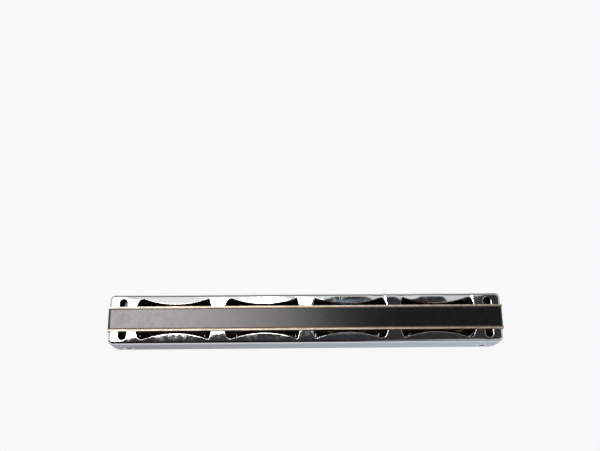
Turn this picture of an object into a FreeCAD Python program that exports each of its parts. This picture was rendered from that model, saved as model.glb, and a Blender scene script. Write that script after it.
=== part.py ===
import FreeCAD, Part
import math
import os

import Sketcher
from FreeCAD import Rotation, Vector

# Tremolo harmonica, standing on its mouthpiece with the open back upwards.
# X runs along the row of notes, with the lowest note at the +X end. Y runs across the
# thickness, with the top cover on the +Y side. Z runs from the mouthpiece to the back.
# The origin is the middle of the mouthpiece face. Every length is in millimetres.

LENGTHS = {
    # Comb: the moulded body that holds the air chambers
    "note_pitch": 7.0,
    "end_block": 8.0,
    "comb_depth": 27.0,
    "comb_thickness": 8.7,
    "lip_thickness": 12.6,
    "lip_depth": 3.2,
    "lip_round": 1.8,
    "lip_edge_round": 0.5,
    "comb_back_round": 1.2,
    "chamber_width": 5.0,
    "middle_rib": 1.4,
    "rear_wall": 4.6,
    # Reed plates
    "plate_thickness": 0.95,
    "plate_gap": 0.1,
    "slot_side_gap": 0.12,
    "slot_tip_gap": 0.15,
    "slot_root_gap": 0.2,
    "slot_bridge": 1.6,
    # Reeds, each swinging at its rivet
    "reed_pad_length": 3.0,
    "reed_pad_width": 2.5,
    "reed_pad_thickness": 0.32,
    "reed_root_width": 2.0,
    "reed_tip_width": 1.8,
    "reed_tip_thickness": 0.2,
    "reed_gap": 0.08,
    "reed_back_gap": 0.4,
    "reed_step": 0.33,
    # Reed rivets
    "rivet_radius": 0.5,
    "rivet_play": 0.08,
    "rivet_head_radius": 0.85,
    "rivet_head_top_radius": 0.55,
    "rivet_head_height": 0.35,
    # Reed plate screws
    "screw_radius": 0.6,
    "screw_play": 0.05,
    "screw_length": 3.2,
    "screw_head_radius": 1.1,
    "screw_head_top_radius": 0.85,
    "screw_head_height": 0.6,
    "screw_slot_width": 0.3,
    "screw_slot_depth": 0.25,
    "screw_from_back": 3.0,
    "front_screw_from_end": 4.5,
    "front_screw_from_edge": 2.6,
    # Covers: pressed sheet shells
    "sheet": 0.5,
    "cover_height": 5.55,
    "cover_end_gap": 0.35,
    "cover_front_gap": 0.2,
    "flange_drop": 0.8,
    "arch_radius": 120.0,
    "shoulder_radius": 4.0,
    "cover_corner_radius": 2.0,
    "cover_bend_radius": 1.2,
    # Windows in the cover's back flange, with a turned-in rim
    "window_margin": 11.65,
    "tab_width": 6.0,
    "window_edge_band": 2.05,
    "window_neck": 0.8,
    "window_splay": 0.9,
    "window_outer_splay": 1.5,
    "window_arc_shift": 0.9,
    "window_tip_radius": 0.3,
    "window_outer_radius": 2.0,
    "rim_drop": 0.7,
    "rim_round": 0.4,
    # Slots near the ends of the flange
    "end_slot_inset": 5.9,
    "end_slot_width": 3.2,
    # Dimples that take the cover bolts down to the plate
    "bolt_above_lip": 9.3,
    "dimple_floor_radius": 2.5,
    "dimple_mouth_radius": 3.6,
    "dimple_round": 0.7,
    "dimple_end_gap": 0.15,
    # Cover bolts and nuts
    "bolt_radius": 1.0,
    "bolt_play": 0.1,
    "bolt_head_radius": 1.9,
    "bolt_head_height": 1.3,
    "bolt_head_round": 0.7,
    "bolt_cross_length": 2.2,
    "bolt_cross_width": 0.45,
    "bolt_cross_depth": 0.8,
    "bolt_tail": 0.5,
    "nut_across_corners_radius": 2.25,
    "nut_height": 1.4,
    "nut_play": 0.02,
    # How far every cutting tool runs past the face that it cuts
    "overrun": 1.0,
}

COUNTS = {
    "note_count": 22,
    "window_count": 4,
}

# Places and sizes that follow from the ones above
LAYOUT = {
    "comb_length": "sizes.note_count * sizes.note_pitch + 2 * sizes.end_block",
    "half_length": "layout.comb_length / 2",
    "body_half": "sizes.comb_thickness / 2",
    "lip_half": "sizes.lip_thickness / 2",
    "rib_half": "sizes.middle_rib / 2",
    "first_note": "(sizes.note_count - 1) / 2 * sizes.note_pitch",
    "chamber_depth": "sizes.comb_depth - sizes.rear_wall",
    "plate_outer": "layout.body_half + sizes.plate_thickness",
    "plate_front": "sizes.lip_depth + sizes.plate_gap",
    "pad_half": "sizes.reed_pad_length / 2",
    "reed_axis": "layout.chamber_depth - sizes.reed_back_gap - layout.pad_half",
    "longest_reed": "layout.reed_axis - layout.plate_front - sizes.slot_bridge",
    "slot_half": "sizes.reed_root_width / 2 + sizes.slot_side_gap",
    "slot_top": "layout.reed_axis - layout.pad_half - sizes.slot_root_gap",
    "rivet_span": "sizes.plate_thickness + 2 * sizes.reed_gap + sizes.reed_pad_thickness",
    "screw_level": "sizes.comb_depth - sizes.screw_from_back",
    "front_screw_level": "layout.plate_front + sizes.front_screw_from_edge",
    "front_screw_place": "layout.half_length - sizes.front_screw_from_end",
    "cover_outer": "layout.plate_outer + sizes.cover_height",
    "cover_half": "layout.half_length - sizes.cover_end_gap",
    "cover_front": "layout.plate_front + sizes.cover_front_gap",
    "flange_level": "sizes.comb_depth - sizes.flange_drop",
    "flange_under": "layout.flange_level - sizes.sheet",
    "arch_centre": "layout.cover_outer - sizes.arch_radius",
    "window_end": "layout.cover_half - sizes.window_margin",
    "tabs_width": "(sizes.window_count - 1) * sizes.tab_width",
    "window_width": "(2 * layout.window_end - layout.tabs_width) / sizes.window_count",
    "window_pitch": "layout.window_width + sizes.tab_width",
    "window_half": "layout.window_width / 2",
    "window_corner": "layout.cover_outer - sizes.window_edge_band",
    "window_apex": "layout.plate_outer + sizes.window_neck",
    "window_sag": "layout.window_corner - layout.window_apex",
    "window_tip": "layout.window_half - sizes.window_splay",
    "window_outer_tip": "layout.window_half - sizes.window_outer_splay",
    "window_chord_half": "layout.window_tip - sizes.window_arc_shift",
    "window_arc_radius": "(layout.window_chord_half ^ 2 + layout.window_sag ^ 2) / (2 * layout.window_sag)",
    "window_arc_centre": "layout.window_apex + layout.window_arc_radius",
    "first_window": "(sizes.window_count - 1) / 2 * layout.window_pitch",
    "end_slot_half": "sizes.end_slot_width / 2",
    "end_slot_place": "layout.cover_half - sizes.end_slot_inset",
    "end_screw_place": "(layout.window_end + layout.end_slot_place - layout.end_slot_half) / 2",
    "dimple_reach": "sizes.dimple_mouth_radius + sizes.dimple_round + sizes.dimple_end_gap",
    "dimple_floor": "layout.plate_outer + sizes.sheet",
    "dimple_depth": "layout.cover_outer - layout.dimple_floor",
    "dimple_flare": "(sizes.dimple_mouth_radius - sizes.dimple_floor_radius) / layout.dimple_depth",
    "bolt_place": "layout.cover_half - sizes.cover_corner_radius - layout.dimple_reach",
    "bolt_level": "sizes.lip_depth + sizes.bolt_above_lip",
    "bolt_hole": "sizes.bolt_radius + sizes.bolt_play",
    "bolt_reach": "2 * layout.dimple_floor + sizes.nut_height + sizes.bolt_tail",
}

TOP, BOTTOM = 1, -1
LEFT, RIGHT = -1, 1
QUARTER_TURN, HALF_TURN = 90, 180
NUT_SIDES = 6
X_AXIS, Z_AXIS = Vector(1, 0, 0), Vector(0, 0, 1)
NEAR_SHARE = 0.01

doc = FreeCAD.newDocument("tremolo_harmonica")
parts = {}


def fill_sheet(name, rows):
    """Write one named cell a row."""
    sheet = doc.addObject("Spreadsheet::Sheet", name)
    for row, (alias, content) in enumerate(rows.items(), start=1):
        sheet.set(f"A{row}", alias)
        sheet.set(f"B{row}", content)
        sheet.setAlias(f"B{row}", alias)
    return sheet


sizes = fill_sheet("sizes", {name: str(number) for name, number in {**LENGTHS, **COUNTS}.items()})
layout = fill_sheet("layout", {name: f"={formula}" for name, formula in LAYOUT.items()})
doc.recompute()


def value(formula):
    """The number that a formula gives now."""
    number = sizes.evalExpression(formula)
    return float(getattr(number, "Value", number))


def bind(feature, formulas):
    """Tie properties of a feature to formulas on the sheets."""
    for name, formula in formulas.items():
        feature.setExpression(name, formula)
    return feature


def place(feature, across="0", out="0", up="0"):
    """Tie a feature's position to formulas."""
    return bind(feature, {
        "Placement.Base.x": across,
        "Placement.Base.y": out,
        "Placement.Base.z": up,
    })


def keep(feature, label):
    """Name a finished piece, which is written to a file of that name."""
    feature.Label = label
    parts[label] = feature
    return feature


def box(name, length, width, height, across="0", out="0", up="0"):
    """A block from its lowest corner."""
    block = doc.addObject("Part::Box", name)
    bind(block, {"Length": length, "Width": width, "Height": height})
    return place(block, across, out, up)


def cylinder(name, radius, height, across="0", out="0", up="0"):
    """A rod along Z from the middle of its lower end."""
    rod = doc.addObject("Part::Cylinder", name)
    bind(rod, {"Radius": radius, "Height": height})
    return place(rod, across, out, up)


def cone(name, low_radius, high_radius, height, across="0", out="0", up="0"):
    """A tapered rod along Z from the middle of its lower end."""
    taper = doc.addObject("Part::Cone", name)
    bind(taper, {"Radius1": low_radius, "Radius2": high_radius, "Height": height})
    return place(taper, across, out, up)


def group(name, features):
    """Several separate solids as one object."""
    compound = doc.addObject("Part::Compound", name)
    compound.Links = features
    return compound


def fuse(name, features):
    """Several solids grown into one."""
    fusion = doc.addObject("Part::MultiFuse", name)
    fusion.Shapes = features
    return fusion


def cut(name, base, tool):
    """One solid less another."""
    result = doc.addObject("Part::Cut", name)
    result.Base = base
    result.Tool = tool
    return result


def facing(side):
    """The turn that takes Z outwards and Y down towards the mouthpiece, on the top or bottom side."""
    outwards = Rotation(X_AXIS, -QUARTER_TURN)
    if side == TOP:
        return outwards
    return Rotation(Z_AXIS, HALF_TURN) * outwards


def signed(side, formula):
    """The formula on the top side, and its mirror image on the bottom side."""
    return f"{side} * ({formula})"


def new_body(name):
    return doc.addObject("PartDesign::Body", name)


def new_sketch(body, name, plane):
    """A sketch on one of the body's own origin planes."""
    sketch = body.newObject("Sketcher::SketchObject", name)
    support = next(feature for feature in body.Origin.OriginFeatures if feature.Role == plane)
    sketch.AttachmentSupport = (support, [""])
    sketch.MapMode = "FlatFace"
    return sketch


def pin_point(sketch, geometry, point, across, up):
    """Fix a point of a sketch by its two distances from the sketch's origin."""
    for kind, formula in (("DistanceX", across), ("DistanceY", up)):
        constraint = Sketcher.Constraint(kind, -1, 1, geometry, point, value(formula))
        number = sketch.addConstraint(constraint)
        sketch.setExpression(f"Constraints[{number}]", formula)


def pin_radius(sketch, geometry, radius):
    number = sketch.addConstraint(Sketcher.Constraint("Radius", geometry, value(radius)))
    sketch.setExpression(f"Constraints[{number}]", radius)


def draw_outline(sketch, corners):
    """A closed outline of straight lines through corners that are given as formulas."""
    first = sketch.GeometryCount
    count = len(corners)
    points = [Vector(value(across), value(up), 0) for across, up in corners]
    for index, start in enumerate(points):
        sketch.addGeometry(Part.LineSegment(start, points[(index + 1) % count]))
    for index, (across, up) in enumerate(corners):
        following = first + (index + 1) % count
        sketch.addConstraint(Sketcher.Constraint("Coincident", first + index, 2, following, 1))
        pin_point(sketch, first + index, 1, across, up)


def draw_circle(sketch, across, up, radius):
    centre = Vector(value(across), value(up), 0)
    geometry = sketch.addGeometry(Part.Circle(centre, Z_AXIS, value(radius)))
    pin_point(sketch, geometry, 3, across, up)
    pin_radius(sketch, geometry, radius)


def pad(body, name, sketch, length, both_ways=False):
    feature = body.newObject("PartDesign::Pad", name)
    feature.Profile = sketch
    feature.SideType = "Symmetric" if both_ways else "One side"
    bind(feature, {"Length": length})
    doc.recompute()
    return feature


def drill_across(body, name, sketch):
    """Cut a sketch on the XZ plane right through the thickness."""
    feature = body.newObject("PartDesign::Pocket", name)
    feature.Profile = sketch
    feature.Type = "ThroughAll"
    feature.SideType = "Symmetric"
    doc.recompute()
    return feature


def is_near(number, formula):
    """Whether a number is the formula's value, to within a small share of the sheet's thickness."""
    return abs(number - value(formula)) < NEAR_SHARE * value("sizes.sheet")


def pick_edges(shape, wanted):
    """The numbers of the edges that a test on their ends and middle accepts."""
    found = []
    for number, edge in enumerate(shape.Edges, start=1):
        low, high = edge.ParameterRange
        points = [edge.valueAt(low), edge.valueAt((low + high) / 2), edge.valueAt(high)]
        if wanted(points):
            found.append(number)
    return found


def round_body_edges(body, name, radius, wanted):
    """Round the edges of a body's last feature that a test accepts."""
    last = body.Tip
    numbers = pick_edges(last.Shape, wanted)
    feature = body.newObject("PartDesign::Fillet", name)
    feature.Base = (last, [f"Edge{number}" for number in numbers])
    bind(feature, {"Radius": radius})
    doc.recompute()
    return feature


def round_edges(name, base, radius, wanted):
    """Round the edges of any solid that a test accepts."""
    doc.recompute()
    feature = doc.addObject("Part::Fillet", name)
    feature.Base = base
    amount = value(radius)
    feature.Edges = [(number, amount, amount) for number in pick_edges(base.Shape, wanted)]
    return feature


def screw_places():
    """Where the reed plate screws go, as pairs of formulas: a row along the back, and two near the front."""
    places = []
    for tab in range(COUNTS["window_count"] - 1):
        places.append((f"({tab} + 1 / 2) * layout.window_pitch - layout.first_window", "layout.screw_level"))
    for end in (LEFT, RIGHT):
        places.append((f"{end} * layout.end_screw_place", "layout.screw_level"))
        places.append((f"{end} * layout.front_screw_place", "layout.front_screw_level"))
    return places


def note_place(note):
    """The middle of a note's chamber along the comb, counting from the lowest note."""
    return f"layout.first_note - {note - 1} * sizes.note_pitch"


def reed_length(note):
    """From a reed's rivet to its tip: each higher note's reed is a step shorter."""
    return f"(layout.longest_reed - {note - 1} * sizes.reed_step)"


NOTES = range(1, COUNTS["note_count"] + 1)


def blows(note):
    """Odd notes sound when blown, with their reeds in the chamber, and even notes when drawn."""
    return note % 2 == 1


def make_comb():
    """The moulded body: a flat core, a thicker rounded lip, and two rows of chambers open to the plates."""
    body = new_body("comb")
    profile = new_sketch(body, "comb_profile", "YZ_Plane")
    draw_outline(profile, [
        ("-layout.lip_half", "0"),
        ("layout.lip_half", "0"),
        ("layout.lip_half", "sizes.lip_depth"),
        ("layout.body_half", "sizes.lip_depth"),
        ("layout.body_half", "sizes.comb_depth"),
        ("-layout.body_half", "sizes.comb_depth"),
        ("-layout.body_half", "sizes.lip_depth"),
        ("-layout.lip_half", "sizes.lip_depth"),
    ])
    pad(body, "comb_block", profile, "layout.comb_length", both_ways=True)

    def along_lip(points, level):
        return all(is_near(abs(p.y), "layout.lip_half") and is_near(p.z, level) for p in points)

    def across_back_end(points):
        at_back = all(is_near(p.z, "sizes.comb_depth") for p in points)
        return at_back and all(is_near(abs(p.x), "layout.half_length") for p in points)

    round_body_edges(body, "mouth_rounding", "sizes.lip_round", lambda p: along_lip(p, "0"))
    round_body_edges(body, "lip_rounding", "sizes.lip_edge_round", lambda p: along_lip(p, "sizes.lip_depth"))
    round_body_edges(body, "back_end_rounding", "sizes.comb_back_round", across_back_end)

    mouths = new_sketch(body, "chamber_mouths", "XY_Plane")
    near, far = "-layout.first_note - sizes.chamber_width / 2", "-layout.first_note + sizes.chamber_width / 2"
    for side in (TOP, BOTTOM):
        draw_outline(mouths, [
            (near, signed(side, "layout.rib_half")),
            (far, signed(side, "layout.rib_half")),
            (far, signed(side, "layout.body_half")),
            (near, signed(side, "layout.body_half")),
        ])
    chambers = body.newObject("PartDesign::Pocket", "first_chambers")
    chambers.Profile = mouths
    chambers.Reversed = True
    bind(chambers, {"Length": "layout.chamber_depth"})
    doc.recompute()
    row = body.newObject("PartDesign::LinearPattern", "chamber_row")
    row.Originals = [chambers]
    row.Direction = (mouths, ["H_Axis"])
    row.Mode = "Spacing"
    bind(row, {"Offset": "sizes.note_pitch", "Occurrences": "sizes.note_count"})
    body.Tip = row
    doc.recompute()

    holes = new_sketch(body, "comb_holes", "XZ_Plane")
    for end in (LEFT, RIGHT):
        draw_circle(holes, f"{end} * layout.bolt_place", "layout.bolt_level", "layout.bolt_hole")
    for across, up in screw_places():
        draw_circle(holes, across, up, "sizes.screw_radius")
    drill_across(body, "comb_drilling", holes)
    return keep(body, "comb")


def make_plate(side, label):
    """A brass plate with a slot and a rivet hole for each note, and holes for screws and cover bolts."""
    low_face = "layout.body_half" if side == TOP else "-layout.plate_outer"
    blank = box(f"{label}_blank", "layout.comb_length", "sizes.plate_thickness",
                "sizes.comb_depth - layout.plate_front", "-layout.half_length",
                low_face, "layout.plate_front")
    through = "sizes.plate_thickness + 2 * sizes.overrun"
    start = f"{low_face} - sizes.overrun"
    tools = []
    for note in NOTES:
        reach = f"{reed_length(note)} + sizes.slot_tip_gap"
        tools.append(box(f"{label}_slot_{note:02d}", "2 * layout.slot_half", through,
                         f"layout.slot_top - layout.reed_axis + {reach}",
                         f"{note_place(note)} - layout.slot_half", start,
                         f"layout.reed_axis - ({reach})"))
        hole = cylinder(f"{label}_rivet_hole_{note:02d}", "sizes.rivet_radius", through,
                        note_place(note), start, "layout.reed_axis")
        tools.append(hole)
        hole.Placement.Rotation = facing(TOP)
    round_holes = [(across, up, "sizes.screw_radius + sizes.screw_play") for across, up in screw_places()]
    for end in (LEFT, RIGHT):
        round_holes.append((f"{end} * layout.bolt_place", "layout.bolt_level", "layout.bolt_hole"))
    for number, (across, up, radius) in enumerate(round_holes, start=1):
        hole = cylinder(f"{label}_hole_{number}", radius, through, across, start, up)
        hole.Placement.Rotation = facing(TOP)
        tools.append(hole)
    return keep(cut(label, blank, group(f"{label}_openings", tools)), label)


def make_reed(side, side_name, note):
    """One brass tongue: a wide pad round its rivet, and a blade that thins and narrows to its tip."""
    kind = "blow" if blows(note) else "draw"
    label = f"{side_name}_{kind}_reed_{note:02d}"
    reed_pad = box(f"{label}_pad", "sizes.reed_pad_width", "sizes.reed_pad_length",
                   "sizes.reed_pad_thickness", "-sizes.reed_pad_width / 2", "-layout.pad_half")
    blade = doc.addObject("Part::Wedge", f"{label}_blade")
    bind(blade, {
        "Xmin": "-sizes.reed_root_width / 2",
        "Xmax": "sizes.reed_root_width / 2",
        "X2min": "-sizes.reed_tip_width / 2",
        "X2max": "sizes.reed_tip_width / 2",
        "Ymin": "layout.pad_half",
        "Ymax": reed_length(note),
        "Zmin": "0",
        "Zmax": "sizes.reed_pad_thickness",
        "Z2min": "0",
        "Z2max": "sizes.reed_tip_thickness",
    })
    hole = cylinder(f"{label}_hole", "sizes.rivet_radius + sizes.rivet_play",
                    "sizes.reed_pad_thickness + 2 * sizes.overrun", up="-sizes.overrun")
    reed = cut(label, fuse(f"{label}_blank", [reed_pad, blade]), hole)
    if blows(note):
        reed.Placement.Rotation = facing(-side)
        out = "layout.body_half - sizes.reed_gap"
    else:
        reed.Placement.Rotation = facing(side)
        out = "layout.plate_outer + sizes.reed_gap"
    place(reed, note_place(note), signed(side, out), "layout.reed_axis")
    return keep(reed, label)


def make_rivet(side, side_name, note):
    """One rivet: a shaft through plate and reed with a head at each end."""
    name = f"{side_name}_rivet_{note:02d}"
    shaft = cylinder(f"{name}_shaft", "sizes.rivet_radius", "layout.rivet_span")
    plate_head = cone(f"{name}_plate_head", "sizes.rivet_head_top_radius", "sizes.rivet_head_radius",
                      "sizes.rivet_head_height", up="-sizes.rivet_head_height")
    reed_head = cone(f"{name}_reed_head", "sizes.rivet_head_radius", "sizes.rivet_head_top_radius",
                     "sizes.rivet_head_height", up="layout.rivet_span")
    rivet = fuse(name, [shaft, plate_head, reed_head])
    if blows(note):
        rivet.Placement.Rotation = facing(-side)
        out = "layout.plate_outer"
    else:
        rivet.Placement.Rotation = facing(side)
        out = "layout.body_half"
    return place(rivet, note_place(note), signed(side, out), "layout.reed_axis")


def make_plate_screw(name, side, across, up):
    """One small screw with a slotted head."""
    shank = cylinder(f"{name}_shank", "sizes.screw_radius", "sizes.screw_length", up="-sizes.screw_length")
    head = cone(f"{name}_head", "sizes.screw_head_radius", "sizes.screw_head_top_radius",
                "sizes.screw_head_height")
    slot = box(f"{name}_slot", "2 * sizes.screw_head_radius", "sizes.screw_slot_width",
               "sizes.screw_slot_depth + sizes.overrun", "-sizes.screw_head_radius",
               "-sizes.screw_slot_width / 2", "sizes.screw_head_height - sizes.screw_slot_depth")
    screw = cut(name, fuse(f"{name}_blank", [shank, head]), slot)
    screw.Placement.Rotation = facing(side)
    return place(screw, across, signed(side, "layout.plate_outer"), up)


def make_cover_solid(name, inset):
    """The cover's outside as a filled form, or its inside when every face is moved in by the inset."""
    body = new_body(name)
    sketch = new_sketch(body, f"{name}_profile", "YZ_Plane")
    rear, front = f"layout.flange_level - {inset}", f"layout.cover_front + {inset}"
    arch, shoulder = f"sizes.arch_radius - {inset}", f"sizes.shoulder_radius - {inset}"
    half = f"layout.cover_half - {inset}"
    centre = Vector(value("layout.arch_centre"), value("layout.flange_level"), 0)
    bend_up = value(front) + value(shoulder)
    reach = value(arch) - value(shoulder)
    bend_out = centre.x + math.sqrt(reach ** 2 - (bend_up - centre.y) ** 2)
    bend = Vector(bend_out, bend_up, 0)
    meeting = centre + (bend - centre) * (value(arch) / reach)
    lean = math.asin((bend_up - centre.y) / reach)
    top_lean = math.asin((value(rear) - centre.y) / value(arch))
    rear_corner = Vector(centre.x + value(arch) * math.cos(top_lean), value(rear), 0)
    foot = Vector(bend_out, value(front), 0)
    sketch.addGeometry([
        Part.LineSegment(Vector(0, value(rear), 0), rear_corner),
        Part.ArcOfCircle(Part.Circle(centre, Z_AXIS, value(arch)), lean, top_lean),
        Part.ArcOfCircle(Part.Circle(bend, Z_AXIS, value(shoulder)), -math.pi / 2, lean),
        Part.LineSegment(foot, Vector(0, value(front), 0)),
        Part.LineSegment(Vector(0, value(front), 0), Vector(0, value(rear), 0)),
    ])
    sketch.addConstraint([
        Sketcher.Constraint("Coincident", 0, 2, 1, 2),
        Sketcher.Constraint("Tangent", 1, 1, 2, 2),
        Sketcher.Constraint("Tangent", 2, 1, 3, 1),
        Sketcher.Constraint("Coincident", 3, 2, 4, 1),
        Sketcher.Constraint("Coincident", 4, 2, 0, 1),
        Sketcher.Constraint("Horizontal", 0),
        Sketcher.Constraint("Horizontal", 3),
    ])
    pin_point(sketch, 0, 1, "0", rear)
    pin_point(sketch, 4, 1, "0", front)
    pin_point(sketch, 1, 3, "layout.arch_centre", "layout.flange_level")
    pin_radius(sketch, 1, arch)
    pin_radius(sketch, 2, shoulder)
    pad(body, f"{name}_block", sketch, f"2 * ({half})", both_ways=True)

    def round_the_end(points):
        at_end = all(is_near(abs(p.x), half) for p in points)
        at_back = all(is_near(p.z, rear) for p in points)
        in_middle = all(is_near(p.y, "0") for p in points)
        return at_end and not at_back and not in_middle

    def round_the_back(points):
        return all(is_near(p.z, rear) for p in points) and not all(is_near(p.y, "0") for p in points)

    round_body_edges(body, f"{name}_corners", f"sizes.cover_corner_radius - {inset}", round_the_end)
    round_body_edges(body, f"{name}_bend", f"sizes.cover_bend_radius - {inset}", round_the_back)
    return body


def make_window(name, grow, low, height, centre, outer):
    """A window's opening, or the block round it that its rim is cut from when grown.

    Its edge is an arc that comes close to the plate. The end towards the cover's own end is
    well rounded, and the other end comes to a tip.
    """
    body = new_body(name)
    sketch = new_sketch(body, f"{name}_outline", "XY_Plane")
    half, inner = f"(layout.window_half + {grow})", "layout.plate_outer - sizes.overrun"
    tip, rounded_tip = f"(layout.window_tip + {grow})", f"(layout.window_outer_tip + {grow})"
    radius = f"(layout.window_arc_radius - {grow})"

    def on_arc(off_middle):
        return f"layout.window_arc_centre - sqrt({radius} ^ 2 - ({off_middle}) ^ 2)"

    def to_point(across, out):
        return Vector(value(across), value(out), 0)

    walls = [
        (signed(outer, rounded_tip), on_arc(f"{rounded_tip} + sizes.window_arc_shift")),
        (signed(outer, half), "layout.plate_outer"),
        (signed(outer, half), inner),
        (signed(-outer, half), inner),
        (signed(-outer, half), "layout.plate_outer"),
        (signed(-outer, tip), on_arc(f"{tip} - sizes.window_arc_shift")),
    ]
    points = [to_point(across, out) for across, out in walls]
    nearest = to_point(signed(-outer, "sizes.window_arc_shift"), on_arc("0"))
    sketch.addGeometry([Part.LineSegment(start, end) for start, end in zip(points, points[1:])])
    arc = sketch.addGeometry(Part.Arc(points[0], nearest, points[-1]))
    for index in range(1, arc):
        sketch.addConstraint(Sketcher.Constraint("Coincident", index - 1, 2, index, 1))
    pin_point(sketch, 0, 1, *walls[0])
    for index, wall in enumerate(walls[1:]):
        pin_point(sketch, index, 2, *wall)
    arc_start, arc_end = (1, 2) if outer == LEFT else (2, 1)
    sketch.addConstraint(Sketcher.Constraint("Coincident", 0, 1, arc, arc_start))
    sketch.addConstraint(Sketcher.Constraint("Coincident", arc - 1, 2, arc, arc_end))
    pin_radius(sketch, arc, radius)
    pad(body, f"{name}_block", sketch, height)

    def stands_at(wall):
        across, out = wall
        return lambda points: all(is_near(p.x, across) and is_near(p.y, out) for p in points)

    round_body_edges(body, f"{name}_end", f"sizes.window_outer_radius + {grow}", stands_at(walls[0]))
    round_body_edges(body, f"{name}_tip", f"sizes.window_tip_radius + {grow}", stands_at(walls[-1]))
    return place(body, centre, "0", low)


def make_end_slot(name, grow, low, height, centre):
    """The opening of a round-ended slot near the cover's end, or the block round it when grown."""
    half = f"(layout.end_slot_half + {grow})"
    turn = "(layout.window_corner - layout.end_slot_half)"
    inner = "(layout.plate_outer - sizes.overrun)"
    straight = box(f"{name}_straight", f"2 * {half}", f"{turn} - {inner}", height,
                   f"{centre} - {half}", inner, low)
    rounded = cylinder(f"{name}_round", half, height, centre, turn, low)
    return fuse(name, [straight, rounded])


def make_cover(side, label):
    """A pressed sheet shell, open towards the plate, with windows and slots in its back flange."""
    ends = {"left": LEFT, "right": RIGHT}
    outside = make_cover_solid(f"{label}_outside", "0")
    inside = make_cover_solid(f"{label}_inside", "sizes.sheet")

    def dimple(name, floor, floor_radius, end):
        depth = f"(layout.cover_outer + sizes.overrun - {floor})"
        solid = cone(name, floor_radius, f"{floor_radius} + layout.dimple_flare * {depth}", depth,
                     f"{end} * layout.bolt_place", floor, "layout.bolt_level")
        solid.Placement.Rotation = facing(TOP)
        return solid

    recesses, cups = [], []
    for end, sign in ends.items():
        recesses.append(dimple(f"{label}_{end}_recess", "layout.dimple_floor",
                               "sizes.dimple_floor_radius", sign))
        cups.append(dimple(f"{label}_{end}_cup", "layout.plate_outer",
                           "sizes.dimple_floor_radius + sizes.sheet", sign))
    dimpled = cut(f"{label}_dimpled", outside, group(f"{label}_recesses", recesses))

    def round_the_dimple(points):
        middle = points[1]
        off_end = abs(middle.x) - value("layout.bolt_place")
        off_axis = math.hypot(off_end, middle.z - value("layout.bolt_level"))
        near_mouth = middle.y > value("(layout.dimple_floor + layout.cover_outer) / 2")
        on_face = is_near(points[0].distanceToPoint(points[2]), "0")
        return near_mouth and on_face and off_axis < value("sizes.dimple_mouth_radius + sizes.sheet")

    rounded = round_edges(f"{label}_rounded", dimpled, "sizes.dimple_round", round_the_dimple)
    hollow = cut(f"{label}_hollow", inside, group(f"{label}_cups", cups))
    shell = cut(f"{label}_shell", rounded, hollow)

    rim_low, rim_height = "layout.flange_under - sizes.rim_drop", "sizes.rim_drop + sizes.sheet / 2"
    cut_low, cut_height = "layout.flange_under - sizes.overrun", "sizes.sheet + 2 * sizes.overrun"
    rims, openings = [], []
    for number in range(COUNTS["window_count"]):
        centre = f"{number} * layout.window_pitch - layout.first_window"
        outer = LEFT if 2 * number < COUNTS["window_count"] - 1 else RIGHT
        rims.append(make_window(f"{label}_rim_{number}", "sizes.sheet", rim_low, rim_height, centre, outer))
        openings.append(make_window(f"{label}_window_{number}", "0", cut_low, cut_height, centre, outer))
    for end, sign in ends.items():
        centre = f"{sign} * layout.end_slot_place"
        rims.append(make_end_slot(f"{label}_{end}_slot_rim", "sizes.sheet", rim_low, rim_height, centre))
        openings.append(make_end_slot(f"{label}_{end}_slot", "0", cut_low, cut_height, centre))
        hole = cylinder(f"{label}_{end}_bolt_hole", "layout.bolt_hole", cut_height,
                        f"{sign} * layout.bolt_place", "layout.plate_outer - sizes.overrun",
                        "layout.bolt_level")
        hole.Placement.Rotation = facing(TOP)
        openings.append(hole)
    rimmed = fuse(f"{label}_rimmed", [shell] + rims)
    plate_side = box(f"{label}_plate_side", "2 * layout.half_length", "layout.plate_outer + sizes.overrun",
                     "sizes.comb_depth + sizes.overrun", "-layout.half_length", "-sizes.overrun")
    trimmed = cut(f"{label}_trimmed", rimmed, plate_side)
    opened = cut(f"{label}_opened", trimmed, group(f"{label}_openings", openings))

    def round_the_rim(points):
        on_flange = all(is_near(p.z, "layout.flange_level") for p in points)
        within = all(p.y < value("layout.window_corner + sizes.sheet / 2") for p in points)
        past_plate = any(p.y > value("layout.plate_outer + sizes.sheet / 2") for p in points)
        between_ends = all(abs(p.x) < value("layout.end_slot_place + sizes.end_slot_width") for p in points)
        return on_flange and within and past_plate and between_ends

    cover = round_edges(label, opened, "sizes.rim_round", round_the_rim)
    if side == BOTTOM:
        cover.Placement.Rotation = Rotation(Z_AXIS, HALF_TURN)
    return keep(cover, label)


def make_bolt(name, end):
    """A cover bolt: a pan head with a cross recess in the top cover's dimple, and a shank right through."""
    shank = cylinder(f"{name}_shank", "sizes.bolt_radius", "layout.bolt_reach", up="-layout.bolt_reach")
    head = cylinder(f"{name}_head", "sizes.bolt_head_radius", "sizes.bolt_head_height")

    def round_the_top(points):
        return all(is_near(p.z, "sizes.bolt_head_height") for p in points)

    pan = round_edges(f"{name}_pan", head, "sizes.bolt_head_round", round_the_top)
    arms = []
    for number, turn in enumerate((0, QUARTER_TURN)):
        arm = box(f"{name}_arm_{number}", "sizes.bolt_cross_length", "sizes.bolt_cross_width",
                  "sizes.bolt_cross_depth + sizes.overrun")
        arm.Placement.Rotation = Rotation(Z_AXIS, turn)
        back = ("-sizes.bolt_cross_length / 2", "-sizes.bolt_cross_width / 2")
        across, out = back if turn == 0 else ("sizes.bolt_cross_width / 2", "-sizes.bolt_cross_length / 2")
        arms.append(place(arm, across, out, "sizes.bolt_head_height - sizes.bolt_cross_depth"))
    bolt = cut(name, fuse(f"{name}_blank", [shank, pan]), fuse(f"{name}_cross", arms))
    bolt.Placement.Rotation = facing(TOP)
    return place(bolt, f"{end} * layout.bolt_place", "layout.dimple_floor", "layout.bolt_level")


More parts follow.
